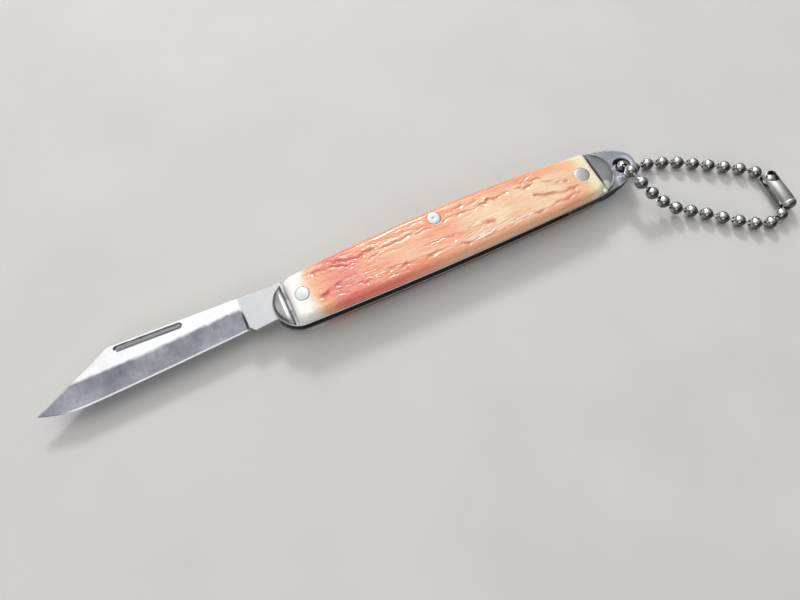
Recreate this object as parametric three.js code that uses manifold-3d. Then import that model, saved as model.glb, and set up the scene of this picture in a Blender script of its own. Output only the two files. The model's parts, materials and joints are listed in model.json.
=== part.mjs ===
// Folding pen knife with one clip blade, moulded covers and a loop of ball chain in its tail ring.
// Millimetres. The knife lies on its rear cover, blade open: +X from the blade's tip to the tail,
// +Y to the back spring, +Z up. Every piece is drawn from the pivot pin's axis, and the finished
// group is moved so that the origin is midway between the end pins, on the rear cover's flat face.
import * as THREE from "three";
import { mergeVertices } from "three/addons/utils/BufferGeometryUtils.js";
import Module from "manifold-3d";

const wasm = await Module();
wasm.setup();

// Stack of layers, from the rear cover's outer face upwards
const COVER_T = 1.9;
const LINER_T = 0.5;
const SPRING_T = 1.7;
const SIDE_CLEARANCE = 0.05;

// Handle, seen from the front
const PIN_SPAN = 55.5;
const BACK_Y = 5.75;
const BACK_R = 335;
const BACK_APEX = 0.514;
const SLOT_Y = -5.15;
const SLOT_R = 900;
const SLOT_APEX = 0.54;
const HEAD_CENTRE_X = -1;
const HEAD_A = 4.5;
const TAIL_PAST_PIN = 1.5;
const TAIL_A = 10.4;

// Covers
const COVER_HEAD_X = -2.45;
const COVER_PAST_PIN = 3;
const COVER_EDGE_R = 1.0;
const COVER_CORNER_R = 1.1;
const COVER_TAIL_CORNER_R = 2;

// Bolsters, coined on the liners
const BOLSTER_H = 1.3;
const BOLSTER_GAP = 0.5;
const BOLSTER_INSET = 0.15;
const HEAD_BOLSTER_SWEEP = 1.7;
const TAIL_BOLSTER_SWEEP = 2.6;
const TAIL_BOLSTER_R = 4.9;
const TAIL_BOLSTER_PAST_PIN = 2.1;

// Pins
const PIN_R = 0.9;
const PIN_HEAD_R = 1.25;
const TAIL_PIN_HEAD_R = 1.43;
const PIN_HEAD_T = 0.45;
const PIN_DOME = 0.15;
const PIN_FIT = 0.03;
const PIVOT_FIT = 0.05;
const SPRING_PIN_AT = 0.481;
const SPRING_PIN_Y = 3.5;

// Tail ring
const RING_FROM_END = 2.75;
const RING_Y = -0.55;
const RING_R = 1.78;

// Blade
const BLADE_T = SPRING_T - 2 * SIDE_CLEARANCE;
const BLADE_TIP_X = -46.35;
const BLADE_TIP_Y = -0.28;
const PLUNGE_X = -10.3;
const SHOULDER_Y = 4.8;
const SPINE_RISE = 0.047;
const CLIP_X = -33;
const CLIP_SAG = 0.2;
const EDGE_PLUNGE_Y = -0.95;
const EDGE_BELLY_Y = -1.98;
const BELLY_X = -38.5;
const GRIND_H = 4.3;
const GRIND_EDGE_T = 0.34;
const BEVEL_H = 0.42;
const EDGE_T = 0.06;
const TIP_W = 0.12;
const TIP_T = 0.7;
const TAPER_X = -26;
const KICK_X = -9.48;
const KICK_Y = -1.75;
const FOLD_DEG = 178;
const NICK_X0 = -32.2;
const NICK_X1 = -20.4;
const NICK_DROP = 0.95;
const NICK_W = 0.9;
const NICK_DEPTH = 0.4;

// Tang and the spring's nose that rides on it
const TANG_R = 2.2;
const TANG_CORNER_R = 0.9;
const NOSE_X = -2.6;
const NOSE_L = 5.2;
const NOSE_TO_ARM = 3.4;
const SPRING_FIT = 0.05;
const SPRING_TANGENT_X = 15;
const SPRING_ARM_Y = 1.6;
const SPRING_BLOCK_L = 6;
const BLOCK_RAMP_L = 6;
const BLOCK_CORNER = 1.5;

// Ball chain
const BALL_R = 1.19;
const BALL_WALL = 0.15;
const BALL_HOLE_R = 0.52;
const CHAIN_PITCH = 3.1;
const LINK_ROD_R = 0.25;
const LINK_HEAD_R = 0.56;
const LINK_HEAD_T = 0.18;
const LINK_GRIP = 0.33;
const CHAIN_CLEARANCE = 0.06;

// Chain connector, a rolled trough that holds the chain's two end balls
const CONNECTOR_WALL = 0.25;
const CONNECTOR_FIT = 0.14;
const CONNECTOR_LIP = 0.35;
const CONNECTOR_SEAM = 1.1;
const CONNECTOR_WINDOW_R = 1.25;
const CONNECTOR_WINDOW_Z = 0.3;
const OPEN_PIVOT_GAP = 0.4;

// Places along the handle that follow from the pins
const BACK_APEX_X = PIN_SPAN * BACK_APEX;
const SLOT_APEX_X = PIN_SPAN * SLOT_APEX;
const SPRING_PIN_X = PIN_SPAN * SPRING_PIN_AT;
const SPRING_BLOCK_X = PIN_SPAN - SPRING_BLOCK_L;
const TAIL_CENTRE_X = PIN_SPAN + TAIL_PAST_PIN;
const TAIL_BOLSTER_X = PIN_SPAN + TAIL_BOLSTER_PAST_PIN;
const COVER_TAIL_X = PIN_SPAN + COVER_PAST_PIN;
const TAIL_X = TAIL_CENTRE_X + TAIL_A;
const RING_X = TAIL_X - RING_FROM_END;

// Heights of the layers
const REAR_LINER_Z = COVER_T;
const SPRING_Z = REAR_LINER_Z + LINER_T;
const FRONT_LINER_Z = SPRING_Z + SPRING_T;
const FRONT_COVER_Z = FRONT_LINER_Z + LINER_T;
const KNIFE_T = FRONT_COVER_Z + COVER_T;
const BLADE_Z = SPRING_Z + SIDE_CLEARANCE;

const material = (color, roughness, metalness) =>
  new THREE.MeshStandardMaterial({ color, roughness, metalness });
const BLADE_STEEL = material(0xb9bcc2, 0.25, 1);
const SPRING_STEEL = material(0xa3a5a8, 0.35, 1);
const NICKEL_SILVER = material(0x9fa4a8, 0.3, 1);
const PIN_NICKEL = material(0xd2d4d2, 0.3, 1);
const COVER_PLASTIC = material(0xf0a888, 0.28, 0);
const CHAIN_NICKEL = material(0xc9c9c6, 0.18, 1);

// Solids and geometries

function solid(geometry) {
  const bare = geometry.index ? geometry.toNonIndexed() : geometry.clone();
  bare.deleteAttribute("normal");
  bare.deleteAttribute("uv");
  const merged = mergeVertices(bare, 1e-5);
  return new wasm.Manifold(
    new wasm.Mesh({
      numProp: 3,
      vertProperties: merged.attributes.position.array,
      triVerts: new Uint32Array(merged.index.array),
    }),
  );
}

function geometryOf(body) {
  const mesh = body.getMesh();
  const geometry = new THREE.BufferGeometry();
  const places = new Float32Array(mesh.vertProperties);
  geometry.setAttribute("position", new THREE.BufferAttribute(places, 3));
  geometry.setIndex(new THREE.BufferAttribute(new Uint32Array(mesh.triVerts), 1));
  geometry.computeVertexNormals();
  return geometry;
}

function piece(name, geometry, finish) {
  const mesh = new THREE.Mesh(geometry, finish);
  mesh.name = name;
  return mesh;
}

// A flat plate with the given outline, from z0 upwards
function plate(points, z0, thickness) {
  const shape = new THREE.Shape(points);
  const geometry = new THREE.ExtrudeGeometry(shape, { depth: thickness, bevelEnabled: false });
  return solid(geometry.translate(0, 0, z0));
}

function cylinder(x, y, z0, z1, radius, sides = 20) {
  const geometry = new THREE.CylinderGeometry(radius, radius, z1 - z0, sides);
  return solid(geometry.rotateX(Math.PI / 2).translate(x, y, (z0 + z1) / 2));
}

// A closed skin over rings of equal point counts; flat() drops a point into the caps' plane
function loft(rings, flat) {
  const count = rings[0].length;
  const places = rings.flat().flatMap((p) => [p.x, p.y, p.z]);
  const faces = [];
  for (let ring = 0; ring + 1 < rings.length; ring++)
    for (let i = 0; i < count; i++) {
      const a = ring * count + i;
      const b = ring * count + ((i + 1) % count);
      faces.push(a, b, b + count, a, b + count, a + count);
    }
  const last = (rings.length - 1) * count;
  for (const [i, j, k] of THREE.ShapeUtils.triangulateShape(rings[0].map(flat), []))
    faces.push(k, j, i);
  for (const [i, j, k] of THREE.ShapeUtils.triangulateShape(rings.at(-1).map(flat), []))
    faces.push(last + i, last + j, last + k);
  const geometry = new THREE.BufferGeometry();
  geometry.setAttribute("position", new THREE.Float32BufferAttribute(places, 3));
  geometry.setIndex(faces);
  return solid(geometry);
}

// The handle's outline

const backY = (x) => BACK_Y - (x - BACK_APEX_X) ** 2 / (2 * BACK_R);
const slotY = (x) => SLOT_Y + (x - SLOT_APEX_X) ** 2 / (2 * SLOT_R);
const steps = (from, to, count) =>
  Array.from({ length: count + 1 }, (_, i) => from + ((to - from) * i) / count);

// Half an ellipse that closes the handle past x0, from the start angle over half a turn
function endCurve(x0, a, inset, startAngle, count) {
  const top = backY(x0) - inset;
  const bottom = slotY(x0) + inset;
  const centreY = (top + bottom) / 2;
  const b = (top - bottom) / 2;
  return steps(startAngle, startAngle + Math.PI, count).map(
    (t) => new THREE.Vector2(x0 + (a - inset) * Math.cos(t), centreY + b * Math.sin(t)),
  );
}

const HALF_PI = Math.PI / 2;
const headCurve = (inset, count) => endCurve(HEAD_CENTRE_X, HEAD_A, inset, HALF_PI, count);
const tailCurve = (inset, count) => endCurve(TAIL_CENTRE_X, TAIL_A, inset, -HALF_PI, count);

function handleOutline() {
  const middle = steps(HEAD_CENTRE_X, TAIL_CENTRE_X, 9).slice(1, -1);
  return [
    ...headCurve(0, 16),
    ...middle.map((x) => new THREE.Vector2(x, slotY(x))),
    ...tailCurve(0, 20),
    ...middle.reverse().map((x) => new THREE.Vector2(x, backY(x))),
  ];
}

// Covers

// The cover's outline: the handle's two long edges between square ends with rounded corners
function coverOutline(inset) {
  const x0 = COVER_HEAD_X + inset;
  const x1 = COVER_TAIL_X - inset;
  const headTop = headEdgeY(x0, 1) - inset;
  const headBottom = headEdgeY(x0, -1) + inset;
  const tailTop = tailEdgeY(x1, 1) - inset;
  const tailBottom = tailEdgeY(x1, -1) + inset;
  const r = COVER_CORNER_R;
  const wide = COVER_TAIL_CORNER_R;
  const corner = (x, y, from, radius = r) =>
    steps(from, from + HALF_PI, 3).map(
      (t) => new THREE.Vector2(x + radius * Math.cos(t), y + radius * Math.sin(t)),
    );
  const low = steps(x0 + r, x1 - wide, 9).slice(1, -1);
  const high = steps(x0 + r, x1 - r, 9).slice(1, -1);
  return [
    ...corner(x0 + r, headBottom + r, Math.PI),
    ...low.map((x) => new THREE.Vector2(x, slotY(x) + inset)),
    ...corner(x1 - wide, tailBottom + wide, -HALF_PI, wide),
    ...corner(x1 - r, tailTop - r, 0),
    ...high.reverse().map((x) => new THREE.Vector2(x, backY(x) - inset)),
    ...corner(x0 + r, headTop - r, HALF_PI),
  ];
}

// The handle's edge near its ends, on the back (side 1) or on the slot side (side -1)
function endEdgeY(x, x0, a, side) {
  const centreY = (backY(x0) + slotY(x0)) / 2;
  const b = (backY(x0) - slotY(x0)) / 2;
  const run = (x - x0) / a;
  return centreY + side * b * Math.sqrt(Math.max(0, 1 - run * run));
}

function headEdgeY(x, side) {
  return endEdgeY(Math.min(x, HEAD_CENTRE_X), HEAD_CENTRE_X, HEAD_A, side);
}

function tailEdgeY(x, side) {
  return endEdgeY(Math.max(x, TAIL_CENTRE_X), TAIL_CENTRE_X, TAIL_A, side);
}

// A crowned slab: straight sides at the liner, rounded over to a flat outer face
function coverBody(zLiner, outward) {
  const turns = steps(0, HALF_PI, 3);
  const levels = turns.map((t) => ({
    inset: COVER_EDGE_R * (1 - Math.cos(t)),
    height: COVER_T - COVER_EDGE_R * (1 - Math.sin(t)),
  }));
  const ring = ({ inset, height }) =>
    coverOutline(inset).map((p) => new THREE.Vector3(p.x, p.y, zLiner + outward * height));
  const rings = [{ inset: 0, height: 0 }, ...levels].map(ring);
  if (outward < 0) rings.reverse();
  let body = loft(rings, (p) => new THREE.Vector2(p.x, p.y));
  const face = zLiner + outward * COVER_T;
  for (const [x, y, headR] of PIN_PLACES) {
    body = body.subtract(cylinder(x, y, -1, KNIFE_T + 1, PIN_R + PIN_FIT));
    const seat = face - outward * (PIN_HEAD_T + PIN_FIT);
    const low = Math.min(seat, face + outward);
    const high = Math.max(seat, face + outward);
    body = body.subtract(cylinder(x, y, low, high, headR + PIN_FIT));
  }
  return body;
}

// Each pin's place and its head's radius
const PIN_PLACES = [
  [0, 0, PIN_HEAD_R],
  [SPRING_PIN_X, SPRING_PIN_Y, PIN_HEAD_R],
  [PIN_SPAN, 0, TAIL_PIN_HEAD_R],
];

// Liners with their coined bolsters

// The rounded end of the handle in front of the head bolster's square inner edge
function headBolsterRing(inset) {
  const wall = COVER_HEAD_X - BOLSTER_GAP;
  const a = HEAD_A - inset;
  const half = Math.acos((HEAD_CENTRE_X - wall) / a);
  const top = backY(HEAD_CENTRE_X) - inset;
  const bottom = slotY(HEAD_CENTRE_X) + inset;
  return steps(Math.PI - half, Math.PI + half, 12).map(
    (t) =>
      new THREE.Vector2(
        HEAD_CENTRE_X + a * Math.cos(t),
        (top + bottom) / 2 + ((top - bottom) / 2) * Math.sin(t),
      ),
  );
}

// The tail bolster: a disc cut square beside the cover and kept inside the handle's edges
function tailBolsterRing(inset) {
  const wall = COVER_TAIL_X + BOLSTER_GAP;
  const r = TAIL_BOLSTER_R - inset;
  const half = Math.acos((wall - TAIL_BOLSTER_X) / r);
  return steps(-half, half, 12).map((t) => {
    const x = TAIL_BOLSTER_X + r * Math.cos(t);
    const y = r * Math.sin(t);
    const high = tailEdgeY(x, 1) - inset;
    const low = tailEdgeY(x, -1) + inset;
    return new THREE.Vector2(x, Math.min(high, Math.max(low, y)));
  });
}

// A quarter-round dome over a D: it rises from the D's arc to its square edge
function bolsterDome(ringAt, sweep, zFace, outward) {
  const level = (inset, z) => ringAt(inset).map((p) => new THREE.Vector3(p.x, p.y, z));
  const turns = steps(0, 0.92 * HALF_PI, 5);
  const rings = turns.map((t) => {
    const inset = BOLSTER_INSET + sweep * (1 - Math.cos(t));
    return level(inset, zFace + outward * BOLSTER_H * Math.sin(t));
  });
  rings.unshift(level(BOLSTER_INSET, zFace - (outward * LINER_T) / 2));
  if (outward < 0) rings.reverse();
  return loft(rings, (p) => new THREE.Vector2(p.x, p.y));
}

function linerBody(z0, outward) {
  const face = outward > 0 ? z0 + LINER_T : z0;
  let body = plate(handleOutline(), z0, LINER_T)
    .add(bolsterDome(headBolsterRing, HEAD_BOLSTER_SWEEP, face, outward))
    .add(bolsterDome(tailBolsterRing, TAIL_BOLSTER_SWEEP, face, outward));
  for (const [x, y] of PIN_PLACES)
    body = body.subtract(cylinder(x, y, z0 - 1, z0 + LINER_T + 1, PIN_R + PIN_FIT));
  return body.subtract(ringHole());
}

const ringHole = () => cylinder(RING_X, RING_Y, -1, KNIFE_T + 1, RING_R, 36);

// Back spring

// The spring's back: straight from its nose, then along the handle's back
function springBackY(x) {
  const slope = (BACK_APEX_X - SPRING_TANGENT_X) / BACK_R;
  return x < SPRING_TANGENT_X
    ? backY(SPRING_TANGENT_X) - slope * (SPRING_TANGENT_X - x)
    : backY(x);
}

// The spring from its nose along the well's roof, down the block and out to the tail
function springOutline() {
  const nose = TANG_R + SPRING_FIT;
  const noseEnd = NOSE_X + NOSE_L;
  const blockFoot = SPRING_BLOCK_X + BLOCK_CORNER;
  const under = new THREE.CatmullRomCurve3(
    [
      [noseEnd, nose],
      [noseEnd + NOSE_TO_ARM, (nose + SPRING_ARM_Y) / 2],
      [-KICK_X, SPRING_ARM_Y],
      [SPRING_PIN_X, SPRING_ARM_Y],
      [SPRING_BLOCK_X - BLOCK_RAMP_L, SPRING_ARM_Y],
      [SPRING_BLOCK_X - BLOCK_CORNER, SPRING_ARM_Y - BLOCK_CORNER / 2],
      [SPRING_BLOCK_X, SPRING_ARM_Y - BLOCK_CORNER * 2],
      [blockFoot, slotY(blockFoot)],
    ].map(([x, y]) => new THREE.Vector3(x, y, 0)),
    false,
    "centripetal",
  );
  const slot = steps(blockFoot, TAIL_CENTRE_X, 2).slice(1, -1);
  const back = steps(TAIL_CENTRE_X, NOSE_X, 10).slice(1);
  return [
    new THREE.Vector2(NOSE_X, nose),
    ...under.getPoints(28).map((p) => new THREE.Vector2(p.x, p.y)),
    ...slot.map((x) => new THREE.Vector2(x, slotY(x))),
    ...tailCurve(0, 20),
    ...back.map((x) => new THREE.Vector2(x, springBackY(x))),
  ];
}

function springBody() {
  let body = plate(springOutline(), SPRING_Z, SPRING_T);
  for (const [x, y] of PIN_PLACES.slice(1))
    body = body.subtract(cylinder(x, y, 0, KNIFE_T, PIN_R + PIN_FIT));
  return body.subtract(ringHole());
}

// Blade

const spineY = (x) => SHOULDER_Y + SPINE_RISE * (NOSE_X - x);

// The clip sweeps down to the tip with a slight hollow
function backOfBladeY(x) {
  if (x >= CLIP_X) return spineY(x);
  const t = (CLIP_X - x) / (CLIP_X - BLADE_TIP_X);
  const straight = spineY(CLIP_X) + (BLADE_TIP_Y - spineY(CLIP_X)) * t;
  return straight - CLIP_SAG * 4 * t * (1 - t);
}

// The edge runs straight to the belly and curves up to the tip
function edgeY(x) {
  if (x >= BELLY_X) {
    const t = (PLUNGE_X - x) / (PLUNGE_X - BELLY_X);
    return EDGE_PLUNGE_Y + (EDGE_BELLY_Y - EDGE_PLUNGE_Y) * (1 - (1 - t) ** 1.3);
  }
  const t = (BELLY_X - x) / (BELLY_X - BLADE_TIP_X);
  return EDGE_BELLY_Y + (BLADE_TIP_Y - EDGE_BELLY_Y) * t ** 2;
}

// Half the blade's thickness above its flat, thinner towards the tip
function halfFlat(x) {
  const t = Math.max(0, (TAPER_X - x) / (TAPER_X - BLADE_TIP_X));
  return (BLADE_T + (TIP_T - BLADE_T) * t * t) / 2;
}

// One section across the blade: spine, flat, grind and the fine bevel at the edge
function bladeSection(x) {
  const edge = edgeY(x);
  const back = Math.max(backOfBladeY(x), edge + TIP_W);
  const width = back - edge;
  const full = halfFlat(x);
  const bevel = Math.min(BEVEL_H, width * 0.3);
  const grind = Math.min(GRIND_H, width * 0.9);
  const reach = GRIND_H > 0 ? grind / GRIND_H : 0;
  const halfGrind = GRIND_EDGE_T / 2 + (full - GRIND_EDGE_T / 2) * reach;
  const zs = [EDGE_T / 2, GRIND_EDGE_T / 2, halfGrind, halfGrind];
  const ys = [edge, edge + bevel, edge + grind, back];
  const mid = BLADE_Z + BLADE_T / 2;
  return [
    ...ys.map((y, i) => new THREE.Vector3(x, y, mid - zs[i])),
    ...ys.map((y, i) => new THREE.Vector3(x, y, mid + zs[i])).reverse(),
  ];
}

function bladeLoft() {
  const stations = [
    ...steps(BLADE_TIP_X, BELLY_X, 9),
    ...steps(BELLY_X, CLIP_X, 4).slice(1),
    ...steps(CLIP_X, PLUNGE_X + 0.3, 12).slice(1),
  ];
  return loft(stations.map(bladeSection), (p) => new THREE.Vector2(p.y, p.z));
}

const fold = (x, y) =>
  new THREE.Vector2(x, y).rotateAround(new THREE.Vector2(), THREE.MathUtils.degToRad(-FOLD_DEG));

// The tang: shoulder and open flat above, rounded end, closed flat, then the kick
function tangOutline() {
  const r = TANG_CORNER_R;
  const corner = (x, y, from, to) =>
    steps(from, to, 4).map((t) => new THREE.Vector2(x + r * Math.cos(t), y + r * Math.sin(t)));
  const closedFrom = fold(TANG_R + 1, TANG_R);
  return [
    new THREE.Vector2(PLUNGE_X, EDGE_PLUNGE_Y),
    new THREE.Vector2(PLUNGE_X + 0.25, EDGE_PLUNGE_Y - 0.1),
    new THREE.Vector2(KICK_X - 0.15, KICK_Y + 0.2),
    new THREE.Vector2(KICK_X, KICK_Y),
    new THREE.Vector2(KICK_X + 3.9, KICK_Y + 0.25),
    new THREE.Vector2(closedFrom.x - 1.2, closedFrom.y + 0.55),
    closedFrom,
    ...corner(TANG_R - r, -TANG_R + r, -HALF_PI, 0),
    ...corner(TANG_R - r, TANG_R - r, 0, HALF_PI),
    new THREE.Vector2(NOSE_X - SPRING_FIT, TANG_R),
    new THREE.Vector2(NOSE_X - SPRING_FIT, spineY(NOSE_X)),
    new THREE.Vector2(PLUNGE_X, spineY(PLUNGE_X)),
  ];
}

// The nail nick: a long pull with round ends, sunk into the front flat below the spine
function nickTool() {
  const r = NICK_W / 2;
  const length = NICK_X1 - NICK_X0 - NICK_W;
  const geometry = new THREE.CapsuleGeometry(r, length, 4, 12);
  const middle = (NICK_X0 + NICK_X1) / 2;
  const z = BLADE_Z + BLADE_T + r - NICK_DEPTH;
  geometry.rotateZ(HALF_PI).rotateZ(-SPINE_RISE);
  return solid(geometry.translate(middle, spineY(middle) - NICK_DROP, z));
}

function bladeBody() {
  return plate(tangOutline(), BLADE_Z, BLADE_T)
    .add(bladeLoft())
    .subtract(nickTool())
    .subtract(cylinder(0, 0, 0, KNIFE_T, PIN_R + PIVOT_FIT));
}

// Pins, headed at both ends

function pinGeometry(x, y, headR) {
  const profile = [
    [0, 0],
    [headR * 0.6, PIN_DOME * 0.35],
    [headR, PIN_DOME],
    [headR, PIN_HEAD_T],
    [PIN_R, PIN_HEAD_T],
  ];
  const half = profile.map(([r, z]) => new THREE.Vector2(r, z));
  const other = half.map((p) => new THREE.Vector2(p.x, KNIFE_T - p.y)).reverse();
  const geometry = new THREE.LatheGeometry([...half, ...other], 20);
  return geometry.rotateX(HALF_PI).translate(x, y, 0);
}

// Ball chain

const point = (x, y, z) => new THREE.Vector3(x, y, z);
const TAB_LOW_Z = REAR_LINER_Z;
const TAB_TOP_Z = FRONT_COVER_Z;
const GROUND_Z = BALL_R + CHAIN_CLEARANCE;
const CONNECTOR_R = BALL_R + CONNECTOR_FIT + CONNECTOR_WALL;
const CONNECTOR_Z = CONNECTOR_R + CHAIN_CLEARANCE;

// How far a ball at height z reaches sideways at the level of a plate's face
const capRadius = (z, faceZ) => Math.sqrt(Math.max(0, BALL_R ** 2 - (faceZ - z) ** 2));

// The balls in and around the ring, seated on its rim and on the ground
const RING_LOW_BALL = point(
  RING_X + RING_R - capRadius(GROUND_Z, TAB_LOW_Z) - CHAIN_CLEARANCE,
  RING_Y + 0.05,
  GROUND_Z,
);
const RING_TOP_BALL = point(RING_X, RING_Y - 0.2, TAB_TOP_Z - 0.45);
const RIM_BALL = point(RING_X - 0.2, RING_Y - 2.45, TAB_TOP_Z + BALL_R + CHAIN_CLEARANCE);
const RIM_SIDE_BALL = point(RING_X + 0.3, RING_Y - 5.35, TAB_TOP_Z + 1.0);
const RIM_FOOT_BALL = point(TAIL_X + capRadius(GROUND_Z, TAB_LOW_Z) + 0.15, RING_Y - 0.1, GROUND_Z);

// A place beyond the ring, in chain pitches from the ring's centre
const laid = (right, back, z = GROUND_Z) =>
  point(RING_X + CHAIN_PITCH * right, RING_Y + CHAIN_PITCH * back, z);

// The two strands on the ground, from the ring to the connector's ends
const UPPER_ROUTE = [
  RIM_FOOT_BALL,
  laid(2.15, -0.13),
  laid(3.89, -0.81),
  laid(5.63, -1.89),
  laid(7.15, -2.89),
  laid(7.95, -3.54),
  laid(8.31, -4.48, CONNECTOR_Z),
];
const LOWER_ROUTE = [
  RIM_SIDE_BALL,
  laid(0.63, -2.5, TAB_TOP_Z * 0.89),
  laid(1.66, -3.53, GROUND_Z * 1.6),
  laid(3.18, -4.56),
  laid(4.69, -5.85),
  laid(5.79, -6.63),
  laid(6.98, -6.92),
  laid(8.2, -6.15, CONNECTOR_Z),
];

// Balls along a strand, as many as keep the spacing nearest to the chain's pitch
function strand(route) {
  const curve = new THREE.CatmullRomCurve3(route, false, "centripetal");
  curve.arcLengthDivisions = 400;
  const count = Math.round(curve.getLength() / CHAIN_PITCH);
  return curve.getSpacedPoints(count);
}

const UPPER_BALLS = [RING_TOP_BALL, RING_LOW_BALL, ...strand(UPPER_ROUTE)];
const LOWER_BALLS = [RIM_BALL, ...strand(LOWER_ROUTE)];

// Ball centres in order from the connector's lower end, through the ring, to its upper end
const BALLS = [...LOWER_BALLS.toReversed(), ...UPPER_BALLS];
const RING_INDEX = LOWER_BALLS.length;

const INNER_R = BALL_R - BALL_WALL;
const HOLE_AT = Math.sqrt(((BALL_R + INNER_R) / 2) ** 2 - BALL_HOLE_R ** 2);

// Each ball's bore points midway between its two links
function ballAxis(i) {
  const before = BALLS[i].clone().sub(BALLS[Math.max(0, i - 1)]).normalize();
  const after = BALLS[Math.min(BALLS.length - 1, i + 1)].clone().sub(BALLS[i]).normalize();
  return before.add(after).normalize();
}

const LINK_END = LINK_GRIP + LINK_HEAD_T;
const LINK_L = CHAIN_PITCH - 2 * HOLE_AT + 2 * LINK_END;

// The link whose head stays outside the ball in the bottom of the ring: the loop's open pivot
const OPEN_LINK = RING_INDEX + 1;

// A thin hollow ball with a hole at each end of its bore
function ballGeometry() {
  const arc = (radius, count) => {
    const hole = Math.asin(BALL_HOLE_R / radius);
    return steps(hole, Math.PI - hole, count).map(
      (t) => new THREE.Vector2(radius * Math.sin(t), -radius * Math.cos(t)),
    );
  };
  const profile = [...arc(BALL_R, 6), ...arc(INNER_R, 2).reverse()];
  profile.push(profile[0].clone());
  return new THREE.LatheGeometry(profile, 12);
}

// A short rod with a head inside each of the balls that it joins
function linkGeometry(length) {
  const half = [
    [0, length / 2],
    [LINK_HEAD_R * 0.7, length / 2],
    [LINK_HEAD_R, length / 2 - LINK_HEAD_T * 0.45],
    [LINK_ROD_R, length / 2 - LINK_HEAD_T],
  ];
  const top = half.map(([r, z]) => new THREE.Vector2(r, z));
  const bottom = top.map((p) => new THREE.Vector2(p.x, -p.y));
  return new THREE.LatheGeometry([...bottom, ...top.reverse()], 8);
}

function along(mesh, centre, axis) {
  mesh.position.copy(centre);
  mesh.quaternion.setFromUnitVectors(new THREE.Vector3(0, 1, 0), axis);
  return mesh;
}

function chain() {
  const group = new THREE.Group();
  const number = (i) => String(i + 1).padStart(2, "0");
  BALLS.forEach((centre, i) => {
    const ball = piece("chain_ball_" + number(i), ballGeometry(), CHAIN_NICKEL);
    group.add(along(ball, centre, ballAxis(i)));
  });
  for (let i = 0; i + 1 < BALLS.length; i++) {
    const from = BALLS[i].clone().addScaledVector(ballAxis(i), HOLE_AT);
    const to = BALLS[i + 1].clone().addScaledVector(ballAxis(i + 1), -HOLE_AT);
    const direction = to.clone().sub(from).normalize();
    const middle = from.clone().add(to).multiplyScalar(0.5);
    let length = LINK_L;
    if (i === OPEN_LINK) {
      direction.copy(to).sub(BALLS[i]).normalize();
      const start = BALLS[i].clone().addScaledVector(direction, BALL_R + OPEN_PIVOT_GAP);
      const end = to.clone().addScaledVector(direction, LINK_END);
      length = start.distanceTo(end);
      middle.copy(start).add(end).multiplyScalar(0.5);
    }
    const link = piece("chain_link_" + number(i), linkGeometry(length), CHAIN_NICKEL);
    group.add(along(link, middle, direction));
  }
  return group;
}

// Connector

function connector() {
  const [low, high] = [BALLS[0], BALLS.at(-1)];
  const spacing = low.distanceTo(high);
  const inner = CONNECTOR_R - CONNECTOR_WALL;
  const half = spacing / 2 + CONNECTOR_R;
  const inside = half - CONNECTOR_WALL;
  const mouth = LINK_ROD_R + CONNECTOR_LIP;
  const upper = [
    [mouth, half],
    [CONNECTOR_R - 0.5, half],
    [CONNECTOR_R, half - 0.6],
  ];
  const cavity = [
    [inner, inside - 0.5],
    [inner - 0.4, inside],
    [mouth, inside],
  ];
  const mirrored = (rows) => rows.map(([r, y]) => [r, -y]).reverse();
  const profile = [...upper.toReversed(), ...cavity.toReversed(), ...mirrored(cavity.toReversed())];
  profile.push(...mirrored(upper.toReversed()), upper.at(-1));
  const turned = new THREE.LatheGeometry(profile.map(([r, y]) => new THREE.Vector2(r, y)), 20);
  const seam = new THREE.BoxGeometry(CONNECTOR_R * 2, half * 2 + 1, CONNECTOR_SEAM);
  const shell = solid(turned)
    .subtract(solid(seam.translate(-CONNECTOR_R, 0, 0)))
    .subtract(cylinder(0, spacing / 2, CONNECTOR_WINDOW_Z, CONNECTOR_R + 1, CONNECTOR_WINDOW_R, 20));
  const middle = low.clone().add(high).multiplyScalar(0.5);
  const mesh = piece("chain_connector", geometryOf(shell), CHAIN_NICKEL);
  return along(mesh, middle, high.clone().sub(low).normalize());
}

// Assembly

const knife = new THREE.Group();
knife.add(
  piece("rear_cover", geometryOf(coverBody(REAR_LINER_Z, -1)), COVER_PLASTIC),
  piece("rear_liner", geometryOf(linerBody(REAR_LINER_Z, -1)), NICKEL_SILVER),
  piece("back_spring", geometryOf(springBody()), SPRING_STEEL),
  piece("blade", geometryOf(bladeBody()), BLADE_STEEL),
  piece("front_liner", geometryOf(linerBody(FRONT_LINER_Z, 1)), NICKEL_SILVER),
  piece("front_cover", geometryOf(coverBody(FRONT_COVER_Z, 1)), COVER_PLASTIC),
);
["pivot_pin", "spring_pin", "tail_pin"].forEach((name, i) => {
  knife.add(piece(name, pinGeometry(...PIN_PLACES[i]), PIN_NICKEL));
});
knife.add(chain(), connector());
knife.position.x = -PIN_SPAN / 2;

const assembly = new THREE.Group();
assembly.add(knife);

export default assembly;
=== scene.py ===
# Looks of the folding pen knife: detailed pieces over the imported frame, their materials, light and camera.
import json
import math
import bpy
import numpy as np
from mathutils import Matrix, Vector, geometry, noise


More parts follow.
